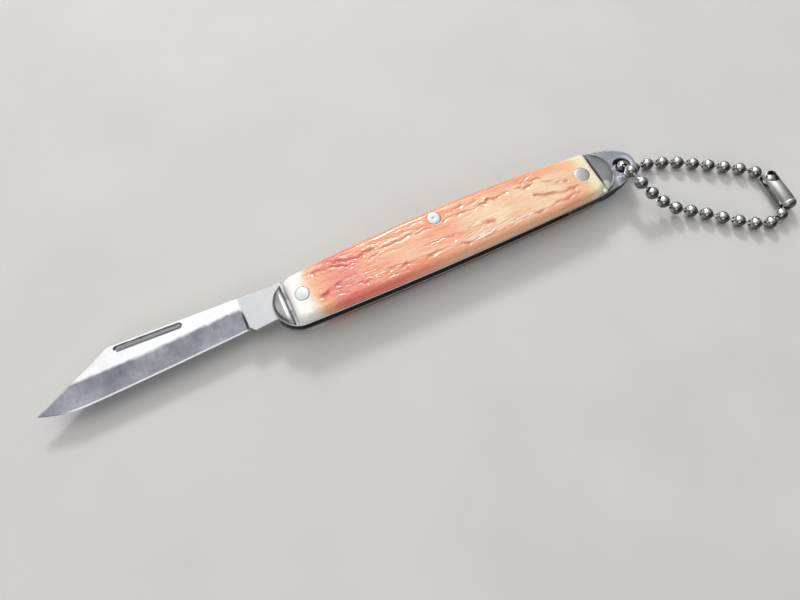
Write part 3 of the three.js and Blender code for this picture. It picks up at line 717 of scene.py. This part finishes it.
def link_data(length):
    """A rod with a head at either end, along Z"""
    rod, head, end = LINK_ROD_R, LINK_HEAD_R, length / 2
    half = [(0.0, end), (head * 0.6, end - 0.008), (head * 0.9, end - 0.035), (head, end - 0.07),
            (head * 0.75, end - 0.12), (rod + 0.02, end - 0.165), (rod, end - 0.19)]
    return lathe(mirrored(half) + half[::-1], 20)


def axis_of(points):
    """The odd one out among a turned shape's three principal directions"""
    p = points - points.mean(0)
    values, vectors = np.linalg.eigh(p.T @ p)
    odd = 2 if values[2] - values[1] > values[1] - values[0] else 0
    return Vector(vectors[:, odd])


def points_of(node):
    """The places of a CAD node's vertices, each once"""
    mesh = frame["nodes"][node].data
    co = np.empty(len(mesh.vertices) * 3)
    mesh.vertices.foreach_get("co", co)
    m = np.array(frame["nodes"][node].matrix_world)
    p = co.reshape(-1, 3) @ m[:3, :3].T + m[:3, 3]
    return np.unique(np.round(p, 7), axis=0)


def add_chain(ball_steel, rod_steel):
    """A finer ball or link over each of the chain's solids, at its centre and along its bore"""
    for name in sorted(frame["nodes"]):
        if not name.startswith(("chain_ball", "chain_link")):
            continue
        points = points_of(name)
        axis = axis_of(points)
        centre = points.mean(0)
        turn = Vector((0, 0, 1)).rotation_difference(axis).to_matrix()
        if name.startswith("chain_ball"):
            steel = ball_steel
            verts, faces = ball_data()
        else:
            steel = rod_steel
            along = (points - centre) @ np.array(axis)
            verts, faces = link_data((along.max() - along.min()) / MM)
        world = np.array(verts) * MM @ np.array(turn).T + centre
        dress(add_mesh(name.replace("chain", "fine"), world, faces, 40, scaled=True), steel, name)


def add_connector(steel):
    """A barrel over the chain's two end balls, with a seam along its side and a window for a ball"""
    low, high = points_of("chain_ball_01").mean(0), points_of("chain_ball_25").mean(0)
    spacing = np.linalg.norm(high - low) / MM
    radius, wall, mouth = 1.58, 0.25, 0.6
    half, inner = spacing / 2 + radius, radius - wall
    inside = half - wall
    end = [(mouth, half - 0.07), (mouth + 0.08, half - 0.05), (radius - 0.64, half - 0.07),
           (radius - 0.46, half - 0.13), (radius - 0.28, half - 0.32), (radius - 0.13, half - 0.56),
           (radius - 0.03, half - 0.8), (radius, half - 0.98)]
    collar = [(radius, half - 1.1), (radius - 0.05, half - 1.18), (radius - 0.05, half - 1.26), (radius, half - 1.34)]
    cavity = [(inner, inside - 0.5), (inner - 0.1, inside - 0.25), (inner - 0.4, inside), (mouth, inside)]
    up = end + collar
    verts, faces = lathe(mirrored(up) + up[::-1] + cavity[::-1] + mirrored(cavity), 72, closed=True)
    body = add_mesh("connector_piece", np.array(verts) * MM, faces, 30, scaled=True)
    long, side = half + 1, -radius * 2
    seam = slab("cut_seam", [(side, -long), (0, -long), (0, long), (side, long)], [], -0.55, 0.55, 0.02)
    window = slab("cut_window", circle(0, 0, 1.25, 64), [], 0.0, 6.0, 0.02)
    axis = Vector(high - low).normalized()
    right = axis.cross(Vector((0, 0, 1))).normalized()
    over = right.cross(axis)
    centre = Matrix.Translation((low + high) / 2)
    upright = Matrix((right, over * -1, axis)).transposed().to_4x4()
    across = Matrix((right, axis, over)).transposed().to_4x4()
    shift = Matrix.Translation(Vector((PIN_SPAN / 2 * MM, 0, 0)))
    lift = Matrix.Translation(Vector((0, spacing / 2 * MM, 0.3 * MM)))
    body.data.transform(centre @ upright)
    seam.data.transform(centre @ across @ shift)
    window.data.transform(centre @ across @ lift @ shift)
    for cut in (seam, window):
        mod = body.modifiers.new("cut", "BOOLEAN")
        mod.operation = "DIFFERENCE"
        mod.solver = "EXACT"
        mod.object = cut
    bpy.context.view_layer.update()
    done = bpy.data.meshes.new_from_object(body.evaluated_get(bpy.context.evaluated_depsgraph_get()))
    body.modifiers.clear()
    body.data = done
    done.name = "connector_piece"
    for cut in (seam, window):
        bpy.data.objects.remove(cut)
    done.shade_smooth()
    done.set_sharp_from_angle(angle=math.radians(35))
    done.materials.clear()
    edge = body.modifiers.new("edge", "BEVEL")
    edge.width = 0.04 * MM
    edge.segments = 2
    edge.limit_method = "ANGLE"
    edge.angle_limit = math.radians(50)
    dress(body, steel, "chain_connector")


# Materials

class Nodes:
    """Short calls for the nodes of a material or world; an input takes a value or another node's output"""

    def __init__(self, owner):
        owner.use_nodes = True
        self.tree = owner.node_tree
        spot = self.tree.nodes.new("ShaderNodeTexCoord")
        self.place, self.facing, self.sky = (spot.outputs[key] for key in ("Object", "Normal", "Generated"))

    def put(self, inputs, values):
        for key, value in values.items():
            if isinstance(value, bpy.types.NodeSocket):
                self.tree.links.new(value, inputs[key])
            elif inputs[key].type == "RGBA":
                inputs[key].default_value = (*value, 1)
            else:
                inputs[key].default_value = value

    def surface(self, values):
        self.put(self.tree.nodes["Principled BSDF"].inputs, values)

    def node(self, kind, values, **settings):
        made = self.tree.nodes.new("ShaderNode" + kind)
        for key, value in settings.items():
            setattr(made, key, value)
        self.put(made.inputs, values)
        return made

    def xyz(self, vector):
        return self.node("SeparateXYZ", {"Vector": vector}).outputs

    def attribute(self, key):
        return self.node("Attribute", {}, attribute_name=key).outputs["Fac"]

    def scaled(self, scale):
        return self.node("Mapping", {"Scale": scale, "Vector": self.place}).outputs["Vector"]

    def noise(self, scale, detail, rough, stretch=(1, 1, 1), distortion=0.0):
        return self.node("TexNoise", {"Scale": scale, "Detail": detail, "Roughness": rough, "Distortion": distortion,
                                      "Vector": self.scaled(stretch)}).outputs["Fac"]

    def ramp(self, value, stops):
        r = self.node("ValToRGB", {"Fac": value})
        e = r.color_ramp.elements
        while len(e) < len(stops):
            e.new(0.5)
        for item, (at, color) in zip(e, stops):
            item.position = at
            item.color = (*color, 1)
        return r.outputs["Color"]

    def shades(self, value, a, low, b, high):
        """A ramp between two greys"""
        return self.ramp(value, [(a, (low,) * 3), (b, (high,) * 3)])

    def grey(self, value, low, high, a=0.0, b=1.0):
        """The value's run from a to b made a run from low to high"""
        return self.node("MapRange", {"Value": value, "From Min": a, "From Max": b, "To Min": low,
                                      "To Max": high}).outputs["Result"]

    def band(self, value, a, b, c, d):
        """Rises from a to b, stays at 1, and falls from c to d"""
        return self.times(self.grey(value, 0, 1, a, b), self.grey(value, 1, 0, c, d))

    def mix(self, fac, a, b, blend="MIX"):
        return self.node("Mix", {0: fac, 6: a, 7: b}, data_type="RGBA", blend_type=blend).outputs[2]

    def math(self, op, *values):
        return self.node("Math", dict(enumerate(values)), operation=op).outputs[0]

    def times(self, first, *others):
        for other in others:
            first = self.math("MULTIPLY", first, other)
        return first

    def apart(self, a, b):
        return self.math("ABSOLUTE", self.math("SUBTRACT", a, b))

    def distance(self, a, b):
        return self.node("VectorMath", {0: a, 1: b}, operation="DISTANCE").outputs["Value"]

    def bump(self, height, distance, strength, **normal):
        values = {"Height": height, "Distance": distance, "Strength": strength, **normal}
        return self.node("Bump", values).outputs["Normal"]


# Near-black for the dark joint lines and for painted shade
GRIME_AND_SHADE = (0.02, 0.019, 0.018)


def metal(name, base, rough, spread, grain, scratch, tarnish_and_shade=None, marks=None):
    """Worn bright metal: fine lengthwise grain, small scratches and faint blotches"""
    mat = bpy.data.materials.new(name)
    n = Nodes(mat)
    blotch = n.noise(260, 3, 0.6)
    fine = n.noise(1.0, 3, 0.6, grain)
    darker = tarnish_and_shade or tuple(c * 0.72 for c in base)
    color = n.mix(n.grey(blotch, 0.0, 0.5, 0.45, 0.75), base, darker)
    grime_and_shade = None
    if marks:
        color, grime_and_shade = marks(n, color)
    uneven = n.math("ADD", blotch, n.times(fine, 0.6))
    gloss = n.grey(uneven, rough - spread, rough + spread * 1.6, 0.5, 1.1)
    n.surface({"Metallic": 1.0})
    # Where the marks' mask is high the finish turns dull and non-metallic: dark joint lines, painted shade, and the
    # painted highlight lines on the liners' edges
    if grime_and_shade:
        gloss = n.math("MAXIMUM", gloss, n.times(grime_and_shade, 0.9))
        n.surface({"Metallic": n.math("SUBTRACT", 1.0, grime_and_shade), "Specular IOR Level": n.grey(grime_and_shade, 0.5, 0.05)})
    n.surface({
        "Base Color": n.mix(scratch * 0.25, color, n.shades(fine, 0.35, 0.3, 0.65, 0.8), "OVERLAY"),
        "Roughness": gloss,
        "Normal": n.bump(fine, 0.8e-5, scratch)})
    return mat


def joint_lines_and_side_shade(n, color, from_x, to_x):
    """Dark lines in the joints between spring and liners, and painted shade on the sides that face the slot from one
    place on
    """
    x, _, z = n.xyz(n.place)
    _, face_y, face_z = n.xyz(n.facing)
    # Painted shade on the faces turned towards the slot, from one place along the knife on
    low = n.times(n.grey(face_y, 1, 0, -0.7, -0.2), n.grey(x, 0, 0.9, at_x(from_x), at_x(to_x)))
    side = n.grey(n.math("ABSOLUTE", face_z), 0.8, 0, 0.75, 0.95)
    for joint in (SPRING_Z, FRONT_LINER_Z):
        near = n.grey(n.apart(z, joint * MM), 1, 0, 0.04 * MM, 0.1 * MM)
        low = n.math("MAXIMUM", low, n.times(near, side))
    return n.mix(low, color, GRIME_AND_SHADE), low


# The spring's joint lines, and painted shade along its whole slot side
def spring_joints_and_shade(n, color):
    return joint_lines_and_side_shade(n, color, -10, -9)


def liner_marks_and_painted_light(n, color):
    """Painted light on the liners: a paler, bluish tail tab and a darker head bolster as painted reflections, painted
    highlights on the head bolster's inner edge and on the tail bolster's foot and lower corner, and painted shade
    beside the covers' ends
    """
    x, y, _ = n.xyz(n.place)
    color, grime_and_shade = joint_lines_and_side_shade(n, color, 57, 58.5)
    # Painted reflection: the tail tab paler and bluish
    color = n.mix(n.grey(x, 0, 0.85, at_x(61.3), at_x(61.9)), color, (0.78, 0.82, 0.9))
    # Painted reflection: the head bolster's dome darker grey
    color = n.mix(n.grey(x, 0.7, 0, at_x(-3.95), at_x(-3.75)), color, (0.3, 0.31, 0.3))
    # Painted highlights: a bright line near the head bolster's inner edge, a ring at the tail bolster's foot and a
    # spot at its lower corner
    painted_crest_highlight = n.band(x, at_x(-3.85), at_x(-3.7), at_x(-3.5), at_x(-3.35))
    painted_crest_highlight = n.times(painted_crest_highlight, n.grey(n.math("ABSOLUTE", y), 1, 0, 1.8 * MM, 3.0 * MM))
    flat = n.node("CombineXYZ", {"X": n.math("SUBTRACT", x, at_x(TAIL_BOLSTER_X)), "Y": y}).outputs[0]
    foot = n.band(n.distance(flat, (0, 0, 0)), 4.1 * MM, 4.2 * MM, 4.5 * MM, 4.6 * MM)
    foot = n.times(foot, n.grey(x, 0, 1, at_x(59.0), at_x(60.0)))
    painted_glint = n.grey(n.distance(flat, (1.2 * MM, -3.4 * MM, 0)), 1, 0, 0.6 * MM, 1.1 * MM)
    bright = n.math("MAXIMUM", painted_crest_highlight, n.math("MAXIMUM", foot, painted_glint))
    color = n.mix(bright, color, (0.95, 0.95, 0.94))
    # Painted shade in dark bands on the liner beside each cover's end and the head bolster's edge, fading out towards
    # the tail's lower side
    tail_wall_shade = n.grey(y, 0, 0.85, -3 * MM, -1.5 * MM)
    for a, b, weight in ((-3.3, -2.85, 0.85), (-2.6, -2.3, 0.5), (58.35, 58.75, tail_wall_shade)):
        joint = n.band(x, at_x(a), at_x(a + 0.12), at_x(b - 0.12), at_x(b))
        color = n.mix(n.times(joint, weight), color, (0.06, 0.055, 0.05))
    return color, grime_and_shade


def chain_painted_shade(n, color):
    """Painted shade and dark reflection on the sides that face the handle's lower edge, where the chain lies on the
    table
    """
    tarnish_and_shade = n.grey(n.xyz(n.facing)["Y"], 0.92, 0, -0.62, 0.12)
    return n.mix(tarnish_and_shade, color, (0.07, 0.066, 0.06)), None


def edge_painted_light(n, color):
    """The liners' lower edges: a painted highlight line on each, fading along the front one towards the tail, and
    painted shade on the rest, all kept mostly non-metallic
    """
    x, _, z = n.xyz(n.place)
    front = n.grey(z, 0, 1, (FRONT_LINER_Z + 0.12) * MM, (FRONT_LINER_Z + 0.2) * MM)
    front = n.times(front, n.grey(x, 1, 0.4, at_x(20), at_x(45)))
    rear = n.grey(n.apart(z, (SPRING_Z - 0.15) * MM), 0.6, 0, 0.08 * MM, 0.14 * MM)
    grime_and_shade = n.math("SUBTRACT", 1.0, n.math("MAXIMUM", front, rear))
    return n.mix(grime_and_shade, color, GRIME_AND_SHADE), n.math("MAXIMUM", grime_and_shade, 0.7)


# The covers' colours along the knife, from the head's cream to the tail's
BONE = [
    (0.0, (1.0, 0.99, 0.955)), (0.055, (1.0, 0.975, 0.88)), (0.09, (0.93, 0.5, 0.28)), (0.14, (0.88, 0.25, 0.16)),
    (0.2, (0.91, 0.32, 0.19)), (0.33, (0.93, 0.4, 0.23)), (0.62, (0.93, 0.41, 0.24)), (0.87, (0.93, 0.38, 0.2)),
    (0.925, (0.94, 0.62, 0.34)), (0.965, (0.94, 0.84, 0.6)), (1.0, (0.94, 0.9, 0.74))]


def cover_material():
    """Moulded imitation bone: cream ends, peach middle, orange flanks and red stain in the grooves"""
    mat = bpy.data.materials.new("moulded_bone")
    n = Nodes(mat)
    x, y, z = n.xyz(n.place)
    streak = n.noise(1.0, 5, 0.6, (90, 520, 300), 0.4)
    cloud = n.noise(170, 3, 0.55, (0.6, 1, 1))
    wobble = n.times(n.math("SUBTRACT", cloud, 0.5), 0.006)
    xw = n.math("ADD", x, wobble)
    along = n.ramp(n.grey(xw, 0, 1, -0.0305, 0.031), BONE)
    flank = n.grey(n.math("ABSOLUTE", n.math("ADD", y, n.times(wobble, 0.25))), 0, 1, 0.0022, 0.0046)
    middle = n.band(xw, -0.026, -0.018, 0.022, 0.028)
    inner = n.times(n.math("SUBTRACT", 1.0, flank), middle)
    # Peach middle, orange flanks, and pale and dark streaks
    color = n.mix(n.times(inner, 0.5), along, (0.94, 0.51, 0.32))
    color = n.mix(n.times(flank, middle, 0.6), color, (0.9, 0.3, 0.11))
    color = n.mix(n.times(n.grey(streak, 0, 1, 0.5, 0.68), middle, 0.6), color, (0.96, 0.61, 0.4))
    color = n.mix(n.times(n.grey(streak, 1, 0, 0.36, 0.51), middle, 0.72), color, (0.86, 0.27, 0.14))
    # The pale patch towards the tail, and a painted highlight along the lower flank
    pale = n.times(inner, n.grey(xw, 0, 1, 0.0, 0.008), n.grey(cloud, 0.55, 1.0, 0.36, 0.5))
    color = n.mix(n.times(pale, 0.9), color, (0.99, 0.77, 0.52))
    painted_ridge_highlight = n.math("ABSOLUTE", n.math("ADD", n.math("ADD", y, 0.0032), n.times(wobble, 0.12)))
    painted_ridge_highlight = n.times(n.grey(painted_ridge_highlight, 0.95, 0, 0.0001, 0.0006), n.band(xw, -0.003, 0.003, 0.013, 0.019))
    color = n.mix(n.times(painted_ridge_highlight, n.grey(streak, 0.5, 1, 0.4, 0.55)), color, (1.0, 0.88, 0.74))
    # Stain in the grooves, red at the head and brown further on, and a red patch at the head
    stain = n.mix(n.grey(xw, 1, 0, -0.018, -0.012), (0.7, 0.2, 0.1), (0.64, 0.11, 0.14))
    weight = n.times(n.attribute("groove"), n.grey(cloud, 0.55, 1.0, 0.35, 0.65))
    color = n.mix(n.times(weight, 0.92), color, stain)
    patch = n.band(xw, -0.0235, -0.0205, -0.0185, -0.0145)
    color = n.mix(n.times(patch, 0.4), color, (0.77, 0.2, 0.19))
    # The lower flank: painted lighter peach towards the tail to offset its shade, red near the head, and painted
    # shade on the rear cover's slot-side wall, lighter near the head
    low_flank_painted_light = n.times(n.grey(y, 1, 0, -0.005, -0.0036), middle, n.grey(xw, 0, 0.75, -0.012, -0.004))
    color = n.mix(low_flank_painted_light, color, (0.99, 0.6, 0.38))
    low_red = n.times(n.band(xw, -0.0235, -0.0195, -0.012, -0.003), 0.6)
    color = n.mix(n.times(n.grey(y, 1, 0, -0.0042, -0.0025), low_red), color, (0.9, 0.2, 0.17))
    shade = n.times(n.grey(z, 1, 0, 0.0019, 0.0021), n.grey(y, 1, 0, -0.0046, -0.0038))
    shade = n.times(shade, n.grey(x, 0.35, 0.88, at_x(5), at_x(10)))
    color = n.mix(shade, color, (0.14, 0.04, 0.03))
    coarse = n.bump(n.noise(1.0, 5, 0.62, (330, 1250, 500), 1.0), 0.00012, 0.8)
    n.surface({
        "Base Color": color,
        "Roughness": n.grey(cloud, 0.2, 0.3, 0.3, 0.7),
        "Subsurface Weight": 0.08,
        "Subsurface Radius": (0.9, 0.35, 0.2),
        "Subsurface Scale": 0.0003,
        "Specular IOR Level": 0.25,
        "Coat Weight": 0.8,
        "Coat Roughness": 0.05,
        "Normal": n.bump(n.noise(4200, 3, 0.6), 0.00001, 0.5, Normal=coarse)})
    return mat


def blade_material():
    """Blade steel: bright flat, greyer ground part with cross grinding lines, a sharpened edge bevel painted brighter
    as a highlight line that fades towards the tip, painted shade in the nail nick, and light staining
    """
    mat = bpy.data.materials.new("blade_steel")
    n = Nodes(mat)
    blotch = n.noise(520, 4, 0.65)
    soft = n.noise(120, 3, 0.6)
    rough = n.grey(n.xyz(n.place)["X"], 0.7, 1.9, at_x(-24), at_x(-14))
    uneven = n.times(n.math("SUBTRACT", n.noise(640, 5, 0.65), 0.5), rough)
    lower = n.grey(n.math("ADD", n.attribute("ground"), uneven), 0, 1, 0.22, 0.8)
    grind = n.noise(1.0, 3, 0.6, (1900, 90, 90))
    draw = n.noise(1.0, 3, 0.6, (90, 2400, 90))
    bright = n.mix(n.grey(blotch, 0, 0.4, 0.45, 0.75), (0.7, 0.705, 0.715), (0.58, 0.585, 0.6))
    dull = n.mix(n.grey(soft, 0, 0.95, 0.35, 0.65), (0.32, 0.325, 0.36), (0.17, 0.175, 0.21))
    dull = n.mix(n.grey(blotch, 0, 0.6, 0.52, 0.72), dull, (0.15, 0.155, 0.19))
    color = n.mix(lower, bright, dull)
    color = n.mix(0.12, color, n.shades(grind, 0.3, 0.3, 0.7, 0.72), "OVERLAY")
    color = n.mix(0.1, color, n.shades(draw, 0.35, 0.35, 0.65, 0.7), "OVERLAY")
    color = n.mix(n.times(n.attribute("tang"), 0.62), color, (0.3, 0.305, 0.33))
    color = n.mix(n.attribute("honed_highlight"), color, (0.93, 0.93, 0.94))
    # Painted shade in the nail nick
    color = n.mix(n.times(n.attribute("nick"), 0.85), color, (0.16, 0.16, 0.17))
    flat_rough, low_rough = n.shades(blotch, 0.3, 0.26, 0.7, 0.44), n.shades(soft, 0.3, 0.34, 0.7, 0.46)
    n.surface({
        "Metallic": 1.0,
        "Base Color": color,
        "Roughness": n.mix(lower, flat_rough, low_rough),
        "Normal": n.bump(grind, 0.000003, 0.3)})
    return mat


def floor_material():
    mat = bpy.data.materials.new("pale_floor")
    n = Nodes(mat)
    pale = n.ramp(n.noise(40, 3, 0.5), [(0.3, (0.62, 0.61, 0.59)), (0.7, (0.66, 0.65, 0.63))])
    n.surface({"Base Color": pale, "Roughness": 0.7})
    return mat


# The studio

# Each lamp's place and size in metres, its power and its colour
LAMPS = [
    ("panel", (-0.2, 0.34, 0.7), 0.9, 2.3, (1, 0.99, 0.97)),
    ("key", (0.16, 0.64, 0.48), 0.12, 2.3, (1, 0.985, 0.96)),
    ("window", (0.2, 0.66, 0.5), 0.38, 1.4, (0.97, 0.985, 1)),
    ("fill", (-0.4, -0.55, 0.42), 0.4, 1.2, (0.98, 0.98, 1))]


def add_studio():
    s = 1.6
    corners = np.array([(-s, -s, 0), (s, -s, 0), (s, s, 0), (-s, s, 0)])
    floor = add_mesh("floor", corners, [(0, 1, 2, 3)], scaled=True)
    floor.data.materials.append(floor_material())
    for name, where, size, power, color in LAMPS:
        data = bpy.data.lights.new(name, "AREA")
        data.size = size
        data.energy = power
        data.color = color
        lamp = bpy.data.objects.new(name, data)
        bpy.context.scene.collection.objects.link(lamp)
        lamp.location = where
        lamp.rotation_euler = (-Vector(where)).to_track_quat("-Z", "Y").to_euler()
    world = bpy.data.worlds.new("studio")
    bpy.context.scene.world = world
    n = Nodes(world)
    _, y, z = n.xyz(n.sky)
    back, out = n.tree.nodes["Background"], n.tree.nodes["World Output"]
    # The sky lights the knife, and the camera sees a plain pale ground instead
    stops = [(0.0, (0.1, 0.1, 0.105)), (0.4, (0.18, 0.18, 0.185)), (1.0, (0.85, 0.86, 0.88))]
    n.put(back.inputs, {"Color": n.ramp(z, stops), "Strength": n.grey(y, 0.55, 0.8, -0.9, 0.3)})
    plain = n.node("Background", {"Color": (0.62, 0.61, 0.59)})
    seen = n.node("LightPath", {}).outputs["Is Camera Ray"]
    both = n.node("MixShader", {"Fac": seen, 1: back.outputs[0], 2: plain.outputs[0]})
    n.put(out.inputs, {"Surface": both.outputs[0]})


add_camera()
add_studio()

# Each metal's colour, roughness and its spread, the scale of its grain, scratches, and the colour of its tarnish
EVEN, CHAIN_GRAIN = (300, 300, 300), (500, 500, 500)
bone = cover_material()
nickel = metal("worn_nickel_and_painted_light", (0.46, 0.465, 0.475), 0.27, 0.08, EVEN, 0.35, (0.26, 0.26, 0.27), liner_marks_and_painted_light)
edge_nickel_painted_light = metal("painted_edge_light", (0.9, 0.9, 0.89), 0.24, 0.06, EVEN, 0.2, marks=edge_painted_light)
spring_steel = metal("spring_steel", (0.44, 0.44, 0.45), 0.34, 0.08, (80, 2400, 2400), 0.4, marks=spring_joints_and_shade)
pin_metal = metal("pin_metal", (0.52, 0.54, 0.53), 0.42, 0.05, (900, 900, 900), 0.25, (0.43, 0.45, 0.44))
chain_nickel = metal(
    "chain_nickel", (0.74, 0.725, 0.7), 0.24, 0.03, CHAIN_GRAIN, 0.2, (0.56, 0.545, 0.52), chain_painted_shade)
rod_nickel = metal("rod_nickel", (0.6, 0.59, 0.57), 0.3, 0.04, CHAIN_GRAIN, 0.2)
barrel_nickel = metal(
    "barrel_nickel", (0.86, 0.86, 0.84), 0.36, 0.04, CHAIN_GRAIN, 0.25, (0.62, 0.61, 0.59), chain_painted_shade)
blade_steel = blade_material()
# Near-black finish for the liners' inner faces: painted shade in the blade's well
well_painted_shade = metal("well_painted_shade", (0.12, 0.115, 0.11), 0.5, 0.08, (300, 900, 300), 0.3, (0.07, 0.065, 0.06))

dress(add_cover("front_cover_piece", FRONT_COVER_Z, 1, False), bone, "front_cover")
dress(add_cover("rear_cover_piece", COVER_T, -1, True), bone, "rear_cover")
for node, z, outward in (("front_liner", FRONT_LINER_Z, 1), ("rear_liner", LINER_Z, -1)):
    plate, bolsters = add_liner(node + "_piece", z, outward)
    dress(plate, nickel, node)
    # The liners' inner faces take the near-black painted shade
    paint(plate, well_painted_shade, lambda face, out=outward: face.normal.z * out < -0.5)
    # The liners' slot-side edges take painted highlight lines and painted shade
    paint(plate, edge_nickel_painted_light, lambda face: face.normal.y < -0.3 and at_x(-3.6) < face.center.x < at_x(57.5))
    dress(bolsters, nickel, node)
dress(add_spring(), spring_steel, "back_spring")
dress(add_blade(), blade_steel, "blade")
dress(add_tang(), blade_steel, "blade")
for name, (x, y), r in zip(("pivot_pin", "spring_pin", "tail_pin"), PINS, PIN_HEADS):
    dress(add_pin(name + "_piece", x, y, r, name == "spring_pin"), pin_metal, name)
add_chain(chain_nickel, rod_nickel)
add_connector(barrel_nickel)

bpy.context.scene.view_settings.view_transform = "Standard"
